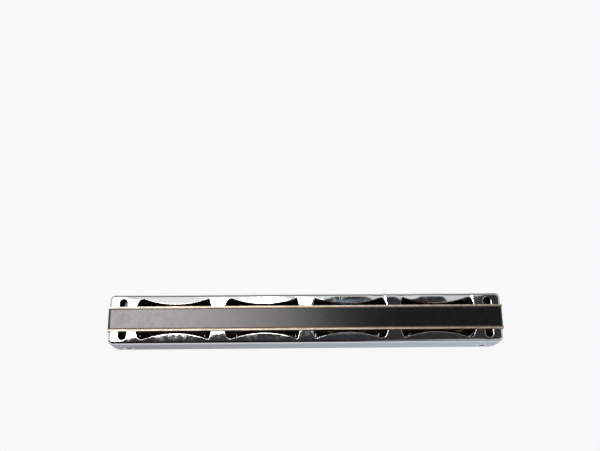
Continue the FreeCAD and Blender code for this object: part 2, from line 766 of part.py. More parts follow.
def make_nut(name, end):
    """A hexagon nut in the bottom cover's dimple."""
    block = doc.addObject("Part::Prism", f"{name}_block")
    block.Polygon = NUT_SIDES
    bind(block, {"Circumradius": "sizes.nut_across_corners_radius", "Height": "sizes.nut_height"})
    bore = cylinder(f"{name}_bore", "sizes.bolt_radius + sizes.nut_play",
                    "sizes.nut_height + 2 * sizes.overrun", up="-sizes.overrun")
    nut = cut(name, block, bore)
    nut.Placement.Rotation = facing(BOTTOM)
    return place(nut, f"{end} * layout.bolt_place", "-layout.dimple_floor", "layout.bolt_level")


make_comb()
for side, side_name in ((TOP, "top"), (BOTTOM, "bottom")):
    make_plate(side, f"{side_name}_reed_plate")
    for note in NOTES:
        make_reed(side, side_name, note)
    rivets = [make_rivet(side, side_name, note) for note in NOTES]
    keep(group(f"{side_name}_rivet_group", rivets), f"{side_name}_reed_rivets")
    screws = [make_plate_screw(f"{side_name}_plate_screw_{number}", side, across, up)
              for number, (across, up) in enumerate(screw_places(), start=1)]
    keep(group(f"{side_name}_screw_group", screws), f"{side_name}_plate_screws")
    make_cover(side, f"{side_name}_cover")
keep(group("bolt_group", [make_bolt("left_bolt", LEFT), make_bolt("right_bolt", RIGHT)]), "cover_bolts")
keep(group("nut_group", [make_nut("left_nut", LEFT), make_nut("right_nut", RIGHT)]), "cover_nuts")
doc.recompute()

for feature in doc.Objects:
    if any(state in ("Invalid", "Error") for state in feature.State):
        raise RuntimeError(f"{feature.Label} did not compute")
for label, feature in parts.items():
    if feature.Shape.isNull() or not feature.Shape.isValid():
        raise RuntimeError(f"{label} has no valid shape")

os.makedirs("parts", exist_ok=True)
for label, feature in parts.items():
    feature.Shape.exportStep(f"parts/{label}.step")
    print(label, len(feature.Shape.Solids), "solids", round(feature.Shape.Volume, 2), "mm3")
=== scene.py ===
# %% [markdown]
# # A tremolo harmonica on a white table
#
# The harmonica stands on its mouthpiece, and the camera looks down on its open back: a black
# comb between two thin brass plates, with a chromed cover on each side. Every measured piece
# comes ready made from the frame, at its real size. This lesson gives those pieces their
# finishes, bends the covers the way that pressed sheet bends, stamps the hole numbers and sets
# up a small photo studio.

# %% Load the frame
import math

import bmesh
import bpy
from mathutils import Matrix, Quaternion, Vector
from mathutils.bvhtree import BVHTree


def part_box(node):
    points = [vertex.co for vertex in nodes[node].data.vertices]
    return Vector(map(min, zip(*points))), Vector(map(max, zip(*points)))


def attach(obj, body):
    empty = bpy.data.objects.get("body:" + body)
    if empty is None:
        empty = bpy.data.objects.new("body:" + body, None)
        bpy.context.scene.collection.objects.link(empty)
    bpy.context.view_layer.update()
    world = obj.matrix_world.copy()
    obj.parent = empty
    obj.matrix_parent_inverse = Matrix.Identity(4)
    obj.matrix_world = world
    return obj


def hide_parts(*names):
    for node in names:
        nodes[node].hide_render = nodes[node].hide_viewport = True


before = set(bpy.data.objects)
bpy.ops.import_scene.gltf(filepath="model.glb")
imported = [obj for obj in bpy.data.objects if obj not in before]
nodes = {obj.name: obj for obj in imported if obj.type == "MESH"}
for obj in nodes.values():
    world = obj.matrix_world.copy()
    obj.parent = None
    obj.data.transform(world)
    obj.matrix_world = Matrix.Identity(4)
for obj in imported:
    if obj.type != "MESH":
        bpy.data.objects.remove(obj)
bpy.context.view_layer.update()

# %% [markdown]
# All lengths here are metres, so a millimetre gets a name of its own. A few sizes that later
# steps share are read from the pieces instead of being typed again: where the plates end, how
# far the covers reach and how high their back flanges lie.

# %% Sizes read from the frame
MM = 0.001
cover_low, cover_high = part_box("top_cover")
seam_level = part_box("top_reed_plate")[0].y
plate_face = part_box("top_reed_plate")[1].y
cover_face = cover_high.y
flange_level = cover_high.z
for what, level in (("seam", seam_level), ("plate face", plate_face), ("cover face", cover_face)):
    print(f"{what} at {level / MM:.2f} mm")

# %% [markdown]
# A finish is a node tree, and building trees by hand gets long. It could be done in the shader
# editor instead, but then the numbers would be hidden in the file. Two small helpers keep it
# readable: one starts a material with its shader, and one adds a node with its settings.

# %% Helpers for materials
def new_material(name, **settings):
    """A material with a Principled shader, whose plain values are set by socket name."""
    material = bpy.data.materials.new(name)
    material.use_nodes = True
    shader = material.node_tree.nodes["Principled BSDF"]
    for socket, amount in settings.items():
        shader.inputs[socket.replace("_", " ")].default_value = amount
    return material, material.node_tree, shader


def add_node(tree, kind, inputs=None, **settings):
    """A node with its properties set, and its inputs set to values or linked to sockets."""
    node = tree.nodes.new(kind)
    for name, setting in settings.items():
        setattr(node, name, setting)
    for socket, source in (inputs or {}).items():
        if isinstance(source, bpy.types.NodeSocket):
            tree.links.new(source, node.inputs[socket])
        else:
            node.inputs[socket].default_value = source
    return node


print("helpers for materials ready")

# %% [markdown]
# Nearly every finish needs sums, ranges, noise and mixed colours, so each of these gets a helper
# too. A mask is a value that goes from 0 to 1 over the surface, and a range turns it into
# something that a shader can use, such as a roughness. A mix node's sockets share their names,
# so they are picked by number.

# %% Helpers for values and colours
MIX_MASK, MIX_FIRST, MIX_SECOND, MIXED = 0, 6, 7, 2


def sum_node(tree, operation, first, second):
    """One sum on two values, such as ADD, MULTIPLY or MAXIMUM."""
    return add_node(tree, "ShaderNodeMath", {0: first, 1: second}, operation=operation).outputs[0]


def without_sign(tree, source):
    """The size of a value, whether it is above or below zero."""
    return add_node(tree, "ShaderNodeMath", {0: source}, operation="ABSOLUTE").outputs[0]


def to_range(tree, source, low, high, from_low=0.0, from_high=1.0, **settings):
    """The source, stretched from one range to another."""
    inputs = {"Value": source, "From Min": from_low, "From Max": from_high, "To Min": low, "To Max": high}
    return add_node(tree, "ShaderNodeMapRange", inputs, **settings).outputs["Result"]


def mix_colours(tree, mask, first, second):
    """The first colour where the mask is 0 and the second where it is 1."""
    inputs = {MIX_MASK: mask, MIX_FIRST: first, MIX_SECOND: second}
    return add_node(tree, "ShaderNodeMix", inputs, data_type="RGBA").outputs[MIXED]


def place_on_piece(tree):
    """Where a point lies on its piece, in metres."""
    return add_node(tree, "ShaderNodeTexCoord").outputs["Object"]


def parts_of(tree, vector):
    """A vector's X, Y and Z."""
    return add_node(tree, "ShaderNodeSeparateXYZ", {0: vector}).outputs


def noise_node(tree, where, scale, detail, distortion=0.0):
    """Smooth noise with about as many bumps to a metre as the scale says."""
    inputs = {"Vector": where, "Scale": scale, "Detail": detail, "Distortion": distortion}
    return add_node(tree, "ShaderNodeTexNoise", inputs).outputs["Fac"]


def add_bump(tree, shader, height, depth):
    """A bump that is so many metres deep where the height is 1."""
    bump = add_node(tree, "ShaderNodeBump", {"Height": height, "Distance": depth, "Strength": 1.0})
    tree.links.new(bump.outputs["Normal"], shader.inputs["Normal"])


print("helpers for values and colours ready")

# %% [markdown]
# Two effects turn up in several finishes: hair-fine scratches that run one way, and smudges
# left by handling. Each becomes a node group, built once, so a material only says how large
# and how strong the effect is. Groups could hold whole shaders too, but masks are easier to
# reuse. Scratches come first. They could be drawn one by one, but noise that is squeezed along
# one direction gives any number of them.

# %% A group for fine scratches
SCRATCH_FULL = 0.8


def new_group(name, inputs):
    """A node group with named inputs and a mask for its output, and its two end nodes."""
    group = bpy.data.node_groups.new(name, "ShaderNodeTree")
    for socket, kind, amount in inputs:
        made = group.interface.new_socket(socket, in_out="INPUT", socket_type=kind)
        if amount is not None:
            made.default_value = amount
    group.interface.new_socket("Mask", in_out="OUTPUT", socket_type="NodeSocketFloat")
    return group, group.nodes.new("NodeGroupInput"), group.nodes.new("NodeGroupOutput")


def build_scratches():
    """Long thin noise: the coordinates are squeezed along the scratches and sharpened."""
    group, start, end = new_group("fine_scratches", [
        ("Vector", "NodeSocketVector", None),
        ("Stretch", "NodeSocketVector", (60.0, 2500.0, 2500.0)),
        ("Rarity", "NodeSocketFloat", 0.6),
    ])
    where, stretch = start.outputs["Vector"], start.outputs["Stretch"]
    squeezed = add_node(group, "ShaderNodeVectorMath", {0: where, 1: stretch}, operation="MULTIPLY")
    lines = noise_node(group, squeezed.outputs[0], scale=1.0, detail=3.0)
    mask = to_range(group, lines, 0.0, 1.0, start.outputs["Rarity"], SCRATCH_FULL)
    group.links.new(mask, end.inputs["Mask"])
    return group


scratches = build_scratches()
print("scratches:", len(scratches.nodes), "nodes")

# %% [markdown]
# Fingers leave hazy islands of all sizes. One noise alone looks like clouds, so a broad one and
# a fine one are multiplied: the fine one breaks up the islands of the broad one.

# %% A group for smudges
FINE_TIMES_BROAD = 7.0
SMUDGE_FROM, SMUDGE_FULL = 0.18, 0.38


def build_smudges():
    """Soft islands of two sizes laid over each other, as fingers leave them."""
    group, start, end = new_group("handling_smudges", [
        ("Vector", "NodeSocketVector", None),
        ("Scale", "NodeSocketFloat", 90.0),
    ])
    where, scale = start.outputs["Vector"], start.outputs["Scale"]
    broad = noise_node(group, where, scale, detail=4.0, distortion=0.6)
    fine = noise_node(group, where, sum_node(group, "MULTIPLY", scale, FINE_TIMES_BROAD), detail=2.0)
    both = sum_node(group, "MULTIPLY", broad, fine)
    mask = to_range(group, both, 0.0, 1.0, SMUDGE_FROM, SMUDGE_FULL, interpolation_type="SMOOTHSTEP")
    group.links.new(mask, end.inputs["Mask"])
    return group


smudges = build_smudges()
print("smudges:", len(smudges.nodes), "nodes")

# %% [markdown]
# A group is placed in a material as one node. It could follow a piece's own unwrapping, but
# Object coordinates are metres on every piece, so one scale means the same size on all of them.

# %% Using a group in a material
def use_group(tree, group, **inputs):
    """Place a node group in a material, feed it Object coordinates and take its mask."""
    given = {"Vector": place_on_piece(tree), **inputs}
    return add_node(tree, "ShaderNodeGroup", given, node_tree=group).outputs["Mask"]


print("groups in use from here on")

# %% [markdown]
# The covers are chromed steel. Chrome has almost no colour of its own: what makes it look real
# is what it mirrors, and that its mirror is not perfect. Thin pressed sheet has waves a
# centimetre long and a few thousandths of a millimetre high, and a finer ripple left by the
# plating. Both bend reflections, and the polish is hazier where it was touched. Waves this low
# could be modelled, but a bump from noise bends the reflections just as well.

# %% Chrome
CHROME_COLOUR = (0.70, 0.71, 0.73, 1.0)
CHROME_ROUGHNESS = (0.045, 0.12)
WAVE_SCALE, RIPPLE_SCALE = 110.0, 1500.0
RIPPLE_SHARE = 0.07
WAVE_DEPTH = 0.016 * MM


def make_chrome():
    """Clear where it is clean and hazy where it was touched, with waves and ripple."""
    material, tree, shader = new_material("cover_chrome", Base_Color=CHROME_COLOUR, Metallic=1.0)
    touched = use_group(tree, smudges, Scale=70.0)
    tree.links.new(to_range(tree, touched, *CHROME_ROUGHNESS), shader.inputs["Roughness"])
    where = place_on_piece(tree)
    waves = noise_node(tree, where, WAVE_SCALE, detail=1.0)
    ripple = noise_node(tree, where, RIPPLE_SCALE, detail=1.0)
    height = sum_node(tree, "ADD", waves, sum_node(tree, "MULTIPLY", ripple, RIPPLE_SHARE))
    add_bump(tree, shader, height, WAVE_DEPTH)
    return material


chrome = make_chrome()
print(chrome.name, "has", len(chrome.node_tree.nodes), "nodes")

# %% [markdown]
# The comb is black moulded plastic with a satin shine. Its back is the middle of the picture:
# it mirrors the lamp as a soft glow that fades along its length. Thick plastic sinks a little
# as it cools, so the back is hollow by a hundredth or two of a millimetre. The solid stays as
# it is, and the hollow is part of the bump, whose height is a parabola across the back. A few
# short scuffs cross it, and dust dulls the seams where it meets the plates.

# %% Comb plastic
COMB_COLOUR = (0.011, 0.011, 0.012, 1.0)
COMB_ROUGHNESS = (0.15, 0.18)
SCUFF_ROUGHNESS, DUST_ROUGHNESS = 0.10, 0.7
DUST_FROM, DUST_FULL = 0.4 * MM, 0.15 * MM
SINK_DEPTH = 0.017 * MM
GRAIN_SCALE, GRAIN_DEPTH = 2600.0, 0.002 * MM


def across_seam(tree, start, stop):
    """A mask that goes from 0 to 1 between two distances from the comb's middle."""
    out = without_sign(tree, parts_of(tree, place_on_piece(tree))["Y"])
    return to_range(tree, out, 0.0, 1.0, start, stop)


def make_comb_plastic():
    """Satin black plastic, scuffed, dusty at its seams and slightly hollow."""
    material, tree, shader = new_material("comb_plastic", Base_Color=COMB_COLOUR, Specular_IOR_Level=0.70)
    touched = to_range(tree, use_group(tree, smudges, Scale=60.0), *COMB_ROUGHNESS)
    scuffs = use_group(tree, scratches, Stretch=(2200.0, 90.0, 90.0), Rarity=0.62)
    rough = sum_node(tree, "ADD", touched, to_range(tree, scuffs, 0.0, SCUFF_ROUGHNESS))
    dust = across_seam(tree, seam_level - DUST_FROM, seam_level - DUST_FULL)
    rough = sum_node(tree, "MAXIMUM", rough, to_range(tree, dust, 0.0, DUST_ROUGHNESS))
    tree.links.new(rough, shader.inputs["Roughness"])
    where = place_on_piece(tree)
    share = sum_node(tree, "DIVIDE", parts_of(tree, where)["Y"], seam_level)
    sink = sum_node(tree, "MULTIPLY", sum_node(tree, "MULTIPLY", share, share), SINK_DEPTH)
    grain = sum_node(tree, "MULTIPLY", noise_node(tree, where, GRAIN_SCALE, detail=2.0), GRAIN_DEPTH)
    add_bump(tree, shader, sum_node(tree, "ADD", sink, grain), depth=1.0)
    return material


comb_plastic = make_comb_plastic()
print(comb_plastic.name, "has", len(comb_plastic.node_tree.nodes), "nodes")

# %% [markdown]
# Plates and reeds are brass, worked in different ways. The plate is rolled sheet whose edges
# are freshly milled, while its broad faces have gone brown with breath. A reed is filed along
# its length. One function makes all brass finishes: a base colour, a second colour for the
# tarnish, and scratches that run along the piece. The plate's faces get their brown from the
# surface's own direction, because they alone look across the thickness. The same brown is
# painted along the plate's edge where it meets the comb, as painted shade in the gap there.

# %% Brass
ALONG_COMB, ALONG_REED = (120.0, 4000.0, 4000.0), (6000.0, 6000.0, 150.0)
LINE_ROUGHNESS, LINE_DEPTH = 0.15, 0.004 * MM
FACE_FROM, FACE_FULL = 0.4, 0.6
STAIN_METALLIC = 0.4
# Painted shade along the plate's seam with the comb: full up to the first distance, gone past the second.
SEAM_SHADE_FADE_FROM, SEAM_SHADE_GONE_AT = 0.2 * MM, 0.45 * MM


def make_brass(name, bright, dull, roughness, stretch):
    """Brass between a bright and a tarnished colour, with fine lines along the stretch."""
    material, tree, shader = new_material(name, Metallic=1.0)
    lines = use_group(tree, scratches, Stretch=stretch, Rarity=0.4)
    tarnish = use_group(tree, smudges, Scale=120.0)
    rough = to_range(tree, lines, roughness, roughness + LINE_ROUGHNESS)
    tree.links.new(mix_colours(tree, tarnish, (*bright, 1.0), (*dull, 1.0)), shader.inputs["Base Color"])
    tree.links.new(rough, shader.inputs["Roughness"])
    add_bump(tree, shader, lines, LINE_DEPTH)
    return material


def stain_faces(material, brown_for_tarnish_and_shade):
    """Brown the faces of a plate, whose normals point along Y, and paint shade along its seam with the
    comb.
    """
    tree = material.node_tree
    shader = tree.nodes["Principled BSDF"]
    fresh = shader.inputs["Base Color"].links[0].from_socket
    across = parts_of(tree, add_node(tree, "ShaderNodeNewGeometry").outputs["True Normal"])["Y"]
    on_face = to_range(tree, sum_node(tree, "MULTIPLY", across, across), 0.0, 1.0, FACE_FROM, FACE_FULL)
    tree.links.new(to_range(tree, on_face, 1.0, STAIN_METALLIC), shader.inputs["Metallic"])
    # Painted shade: the plate's edge goes brown within half a millimetre of the comb, where the gap lies
    # in shade.
    clean = across_seam(tree, seam_level + SEAM_SHADE_FADE_FROM, seam_level + SEAM_SHADE_GONE_AT)
    tarnish_and_seam_shade = sum_node(tree, "MAXIMUM", on_face, sum_node(tree, "SUBTRACT", 1.0, clean))
    tree.links.new(mix_colours(tree, tarnish_and_seam_shade, fresh, (*brown_for_tarnish_and_shade, 1.0)), shader.inputs["Base Color"])


plate_brass = make_brass("plate_brass", bright=(0.67, 0.62, 0.53), dull=(0.49, 0.44, 0.37),
                         roughness=0.34, stretch=ALONG_COMB)
stain_faces(plate_brass, brown_for_tarnish_and_shade=(0.25, 0.155, 0.105))
reed_brass = make_brass("reed_brass", bright=(0.62, 0.44, 0.22), dull=(0.40, 0.27, 0.13),
                        roughness=0.26, stretch=ALONG_REED)
rivet_brass = make_brass("rivet_brass", bright=(0.58, 0.42, 0.22), dull=(0.42, 0.30, 0.16),
                         roughness=0.30, stretch=ALONG_REED)
print("three kinds of brass")

# %% [markdown]
# Screws, bolts and nuts are plated steel: a bright zinc skin with fine marks. These could be a
# pattern of their own, but the scratches serve again. They run along the screws, and end on the
# heads as fine grain.

# %% Steel
ALONG_SCREW = (5000.0, 400.0, 5000.0)
MARK_ROUGHNESS, MARK_DEPTH = 0.2, 0.003 * MM


def make_steel(name, colour, roughness):
    """Plated steel with fine marks along the screw."""
    material, tree, shader = new_material(name, Base_Color=(*colour, 1.0), Metallic=1.0)
    marks = use_group(tree, scratches, Stretch=ALONG_SCREW, Rarity=0.4)
    rough = to_range(tree, marks, roughness, roughness + MARK_ROUGHNESS)
    tree.links.new(rough, shader.inputs["Roughness"])
    add_bump(tree, shader, marks, MARK_DEPTH)
    return material


screw_steel = make_steel("screw_steel", colour=(0.50, 0.50, 0.49), roughness=0.32)
bolt_steel = make_steel("bolt_steel", colour=(0.62, 0.62, 0.63), roughness=0.16)
print("two kinds of steel")

# %% [markdown]
# Every piece now gets its finish. The pieces have plain names, so the end of a name tells what
# a piece is made of, and no list of all the pieces is needed.

# %% Give every piece its finish
FINISHES = {
    "comb": comb_plastic,
    "reed_plate": plate_brass,
    "reed_rivets": rivet_brass,
    "plate_screws": screw_steel,
    "cover_bolts": bolt_steel,
    "cover_nuts": bolt_steel,
    "cover": chrome,
}


def finish_for(name):
    """A reed's name holds a number, and every other name ends as one of the finishes does."""
    if "_reed_" in name and name[-1].isdigit():
        return reed_brass
    return next(material for ending, material in FINISHES.items() if name.endswith(ending))


for name, node in nodes.items():
    for slot in node.material_slots:
        slot.material = finish_for(name)
print("finished", len(nodes), "nodes")

# %% [markdown]
# The flange of a pressed cover is never quite flat. Where the sheet turns the corner into the
# broad face it is pulled down a little, so the flange falls towards its outer edge, except
# near the ends, whose walls hold it up. The drawn rims lift it a hair at the windows' tips, and
# here and there the press has left a stretch of the sheet leaning. Chrome shows all of this
# plainly, although it is only about half a millimetre. A lattice could bend the sheet by hand.
# A formula keeps each of these causes apart, with a size of its own. Each stretch that leans is
# five numbers: where it starts, over what length it begins, where it stops and over what length
# it ends, all in millimetres, and its slope.

# %% How a flange bends
CROWN_DROP = {1: 0.19 * MM, -1: 0.21 * MM}
CROWN_POWER = {1: 5, -1: 4}
CROWN_DEPTH = 3.0 * MM
HELD_FROM, HELD_TO = 76.0 * MM, 79.5 * MM
WINDOW_COUNT = 4
WINDOW_PITCH = 38.0 * MM
TIP_PLACE = 11.5 * MM
TIP_SPREAD = 3.0 * MM
TIP_LIFT = 0.08 * MM
LIFT_FROM, LIFT_TO = 8.0 * MM, 9.6 * MM
FLANGE_LEAN = {1: 0.0, -1: -0.005}
LEAN_SLANT = 0.33
LEANING = {
    1: [
        (-72.0, 5.0, -42.0, 5.0, 0.055),
        (5.0, 3.0, 32.0, 3.0, -0.010),
        (28.5, 2.0, 36.0, 0.8, 0.055),
        (38.5, 4.0, 52.5, 10.0, 0.055),
        (60.0, 2.0, 74.1, 0.8, 0.065),
    ],
    -1: [
        (-72.0, 5.0, -42.0, 5.0, 0.012),
        (-37.0, 4.0, -1.0, 4.0, 0.007),
    ],
}
reach = cover_face - plate_face
window_places = [(number - (WINDOW_COUNT - 1) / 2) * WINDOW_PITCH for number in range(WINDOW_COUNT)]
tip_places = [place + side * TIP_PLACE for place in window_places for side in (-1, 1)]
print("window tips at", [round(place / MM, 1) for place in tip_places], "mm")

# %% [markdown]
# The formula gives one number for every point of a cover: how far it moves towards the back.
# The move fades out below the flange, so the broad face keeps its curve.

# %% The bend as a formula
def smooth_step(amount, start, stop):
    """0 before the start and 1 past the stop, with a smooth way between."""
    share = min(1.0, max(0.0, (amount - start) / (stop - start)))
    return share * share * (3.0 - 2.0 * share)


def lean_at(point, share, side):
    """The slope of the flange at a point, which lies a share of the way to the outer edge."""
    lean = FLANGE_LEAN[side]
    along = point.x + LEAN_SLANT * share * reach
    for start, begin, stop, end, amount in LEANING[side]:
        begun = smooth_step(point.x, start * MM, (start + begin) * MM)
        lean += amount * begun * (1.0 - smooth_step(along, (stop - end) * MM, stop * MM))
    return lean


def flange_shift(point, side):
    """How far a point of a cover moves towards the back."""
    near_back = max(0.0, 1.0 - (flange_level - point.z) / CROWN_DEPTH)
    share = max(0.0, (abs(point.y) - plate_face) / reach)
    crown = CROWN_DROP[side] * share ** CROWN_POWER[side]
    crown *= 1.0 - smooth_step(abs(point.x), HELD_FROM, HELD_TO)
    at_tip = sum(math.exp(-((point.x - place) / TIP_SPREAD) ** 2) for place in tip_places)
    lift = TIP_LIFT * at_tip * (1.0 - smooth_step(abs(point.y), LIFT_FROM, LIFT_TO))
    return (lift - crown - lean_at(point, share, side) * share * reach) * near_back


middle_edge = Vector((0.0, cover_face, flange_level))
print("edge over the middle moves", round(flange_shift(middle_edge, 1) / MM, 3), "mm")

# %% [markdown]
# Each cover gets a stand-in: a copy that is sliced finely enough to bend, and whose points near
# the back then move. Cuts a millimetre apart are enough for the gentle bends. Beside two windows
# of the far cover the sheet falls back within a millimetre, so the cuts lie closer there.

# %% Bend the covers
WELD, SNAP = 0.001 * MM, 0.0001 * MM
CUT_SPACING = 1.0 * MM
FINE_SPACING, FINE_COUNT = 0.2 * MM, 16
FINE_STARTS = (33.25 * MM, 71.35 * MM)
ACROSS_CUTS = 12
SHARP_ANGLE = math.radians(28)


def cut_through(mesh, point, normal):
    """Slice every face along a plane, so that the mesh can bend there."""
    everything = mesh.verts[:] + mesh.edges[:] + mesh.faces[:]
    bmesh.ops.bisect_plane(mesh, geom=everything, dist=SNAP, plane_co=point, plane_no=normal)


def slice_cover(mesh, side):
    """Cut a cover into narrow strips along its length, and its flange into strips across."""
    for number in range(1, int((cover_high.x - cover_low.x) / CUT_SPACING)):
        cut_through(mesh, (cover_low.x + number * CUT_SPACING, 0.0, 0.0), (1.0, 0.0, 0.0))
    for start in FINE_STARTS:
        for number in range(FINE_COUNT):
            cut_through(mesh, (start + number * FINE_SPACING, 0.0, 0.0), (1.0, 0.0, 0.0))
    for number in range(1, ACROSS_CUTS):
        out = plate_face + reach * number / ACROSS_CUTS
        cut_through(mesh, (0.0, side * out, 0.0), (0.0, 1.0, 0.0))


def add_object(name, data):
    """An object at the origin, linked to the scene."""
    made = bpy.data.objects.new(name, data)
    bpy.context.collection.objects.link(made)
    return made


def make_cover_shell(node_name, side):
    """A copy of a cover, merged, sliced and bent."""
    mesh = bmesh.new()
    mesh.from_mesh(nodes[node_name].data)
    bmesh.ops.remove_doubles(mesh, verts=mesh.verts[:], dist=WELD)
    slice_cover(mesh, side)
    for vertex in mesh.verts:
        vertex.co.z += flange_shift(vertex.co, side)
    data = bpy.data.meshes.new(f"{node_name}_shell")
    mesh.to_mesh(data)
    mesh.free()
    data.shade_smooth()
    data.set_sharp_from_angle(angle=SHARP_ANGLE)
    data.materials.append(chrome)
    shell = add_object(data.name, data)
    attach(shell, "harmonica_body")
    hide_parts(node_name)
    return shell


top_shell = make_cover_shell("top_cover", 1)
bottom_shell = make_cover_shell("bottom_cover", -1)
for shell in (top_shell, bottom_shell):
    print(shell.name, "has", len(shell.data.polygons), "faces")

# %% [markdown]
# Such harmonicas carry the numbers of their holes on the top cover. The numbers are text objects
# with a little thickness. Each is turned to face outwards, with its foot towards the mouthpiece,
# and set on the curved sheet where a ray from outside meets it. They end up as one mesh. Cutting
# them into the sheet would look much the same, and would need a far finer mesh.

# %% Stamp the hole numbers
NUMBER_HEIGHT = 2.2 * MM
DIGIT_SHARE = 0.69
NUMBER_LEVEL = 8.9 * MM
NUMBER_RELIEF = 0.03 * MM
WELL_OUTSIDE = 1.0
note_places = [sum(corner.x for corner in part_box(name)) / 2
               for name in sorted(nodes, key=lambda name: name[-2:])
               if name.startswith("top_") and name[-1].isdigit()]


def number_mesh(number, place, turn):
    """One number as a mesh, turned and moved to its place."""
    text = bpy.data.curves.new(f"number_{number}", "FONT")
    text.body = str(number)
    text.size = NUMBER_HEIGHT / DIGIT_SHARE
    text.align_x = "CENTER"
    text.align_y = "CENTER"
    text.extrude = NUMBER_RELIEF
    holder = add_object(text.name, text)
    bpy.context.view_layer.update()
    data = bpy.data.meshes.new_from_object(holder.evaluated_get(bpy.context.evaluated_depsgraph_get()))
    bpy.data.objects.remove(holder)
    data.transform(Matrix.Translation(place) @ turn.to_4x4())
    return data


def stamp_numbers():
    """The numbers of all the holes, set on the top cover as one piece."""
    surface = BVHTree.FromPolygons([v.co for v in top_shell.data.vertices],
                                   [p.vertices for p in top_shell.data.polygons])
    inwards, towards_back = Vector((0.0, -1.0, 0.0)), Vector((0.0, 0.0, 1.0))
    mesh = bmesh.new()
    for number, across in enumerate(note_places, start=1):
        place, normal, _, _ = surface.ray_cast(Vector((across, WELL_OUTSIDE, NUMBER_LEVEL)), inwards)
        up = (towards_back - towards_back.dot(normal) * normal).normalized()
        turn = Matrix((up.cross(normal), up, normal)).transposed()
        data = number_mesh(number, place, turn)
        mesh.from_mesh(data)
        bpy.data.meshes.remove(data)
    bmesh.ops.remove_doubles(mesh, verts=mesh.verts[:], dist=WELD)
    joined = bpy.data.meshes.new("hole_numbers")
    mesh.to_mesh(joined)
    mesh.free()
    piece = add_object("hole_numbers", joined)
    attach(piece, "harmonica_body")
    return piece


numbers = stamp_numbers()
print(len(note_places), "numbers,", len(numbers.data.polygons), "faces")

# %% [markdown]
# A stamp leaves a darker, pitted surface, which reads as dark print beside the polish. The fine
# smudges stand in for the pits.

# %% The numbers' finish
STAMPED_COLOUR = (0.16, 0.165, 0.17, 1.0)
STAMPED_ROUGHNESS = (0.35, 0.6)


def make_stamped_metal():
    """Dark chrome that is duller in its pits."""
    material, tree, shader = new_material("stamped_numbers", Base_Color=STAMPED_COLOUR, Metallic=1.0)
    pitted = use_group(tree, smudges, Scale=900.0)
    tree.links.new(to_range(tree, pitted, *STAMPED_ROUGHNESS), shader.inputs["Roughness"])
    return material


numbers.data.materials.append(make_stamped_metal())
print(numbers.name, "has its finish")

# %% [markdown]
# The table is one large pale sheet, which isn't part of the harmonica. Where the camera looks
# at it, most of its brightness is its own, so it stays white and still shows a soft shadow. A
# mirror needs more than that. Chrome that stands on a white table shows the shaded strip next
# to it, greyer than the open table further out, so what a mirror sees of the glow is painted by
# distance.

# %% Table
TABLE_REACH = 4.0
TABLE_COLOUR = (0.86, 0.86, 0.87, 1.0)
GLOW_SEEN, GLOW_MIRRORED = 0.93, 0.60
GLOW_COLOUR = (0.99, 0.99, 1.0, 1.0)
# Painted shade seen only in mirrors: grey close in front, lighter towards the right. Close behind, a
# painted dark reflection.
SHADE_NEAR_LEFT, SHADE_NEAR_RIGHT = (0.37, 0.395, 0.43, 1.0), (0.70, 0.755, 0.82, 1.0)
DARK_REFLECTION_BEHIND = (0.06, 0.06, 0.065, 1.0)
OPEN_TABLE = (1.05, 1.07, 1.10, 1.0)
NEAR_UNTIL, OPEN_FROM = 11.5 * MM, 45.0 * MM


def table_seen_in_mirrors(tree):
    """The glow's colour in a mirror: grey close in front, dark close behind, pale further out."""
    across, out, _ = parts_of(tree, place_on_piece(tree))
    to_right = to_range(tree, across, 0.0, 1.0, cover_low.x, cover_high.x)
    to_back = to_range(tree, out, 0.0, 1.0, 0.0, cover_face)
    away = to_range(tree, without_sign(tree, out), 0.0, 1.0, NEAR_UNTIL, OPEN_FROM)
    near = mix_colours(tree, to_back, mix_colours(tree, to_right, SHADE_NEAR_LEFT, SHADE_NEAR_RIGHT), DARK_REFLECTION_BEHIND)
    return mix_colours(tree, away, near, OPEN_TABLE)


def make_table_white():
    """White that glows by itself for the camera and in mirrors, and is plain for all other light."""
    material, tree, shader = new_material(
        "table_white", Base_Color=TABLE_COLOUR, Roughness=0.7, Specular_IOR_Level=0.2)
    path = add_node(tree, "ShaderNodeLightPath").outputs
    mirrored = sum_node(tree, "MAXIMUM", path["Is Glossy Ray"], path["Is Transmission Ray"])
    colour = mix_colours(tree, mirrored, GLOW_COLOUR, table_seen_in_mirrors(tree))
    glow = add_node(tree, "ShaderNodeEmission", {"Color": colour, "Strength": 1.0}).outputs[0]
    share = sum_node(tree, "MAXIMUM",
                     sum_node(tree, "MULTIPLY", path["Is Camera Ray"], GLOW_SEEN),
                     sum_node(tree, "MULTIPLY", mirrored, GLOW_MIRRORED))
    blend = add_node(tree, "ShaderNodeMixShader", {0: share, 1: shader.outputs[0], 2: glow})
    tree.links.new(blend.outputs[0], tree.nodes["Material Output"].inputs["Surface"])
    return material


def make_table():
    """One large square at the level of the mouthpiece."""
    mesh = bmesh.new()
    bmesh.ops.create_grid(mesh, x_segments=1, y_segments=1, size=TABLE_REACH)
    data = bpy.data.meshes.new("table")
    mesh.to_mesh(data)
    mesh.free()
    table = add_object("table", data)
    data.materials.append(make_table_white())
    return table


make_table()
print("table made")

# %% [markdown]
# The room is drawn by direction, because a world has no walls. The camera itself sees plain
# white behind the table. Everything else sees a pale horizon, higher at the front right, and a
# dark room above it, which gives the chrome its black parts. Three things break the dark: a wide
# pale card that leans over the table from behind, another in front whose right part alone shows
# past a slanted edge, and a small bluish skylight. Real cards could stand there instead, but
# drawn ones throw no shadow. Their edges are planes through the harmonica, so each is a simple
# sum of the direction's parts.

# %% Edges in the room
FRONT_CARD_START, FRONT_CARD_SLANT = 1.25, 5.0


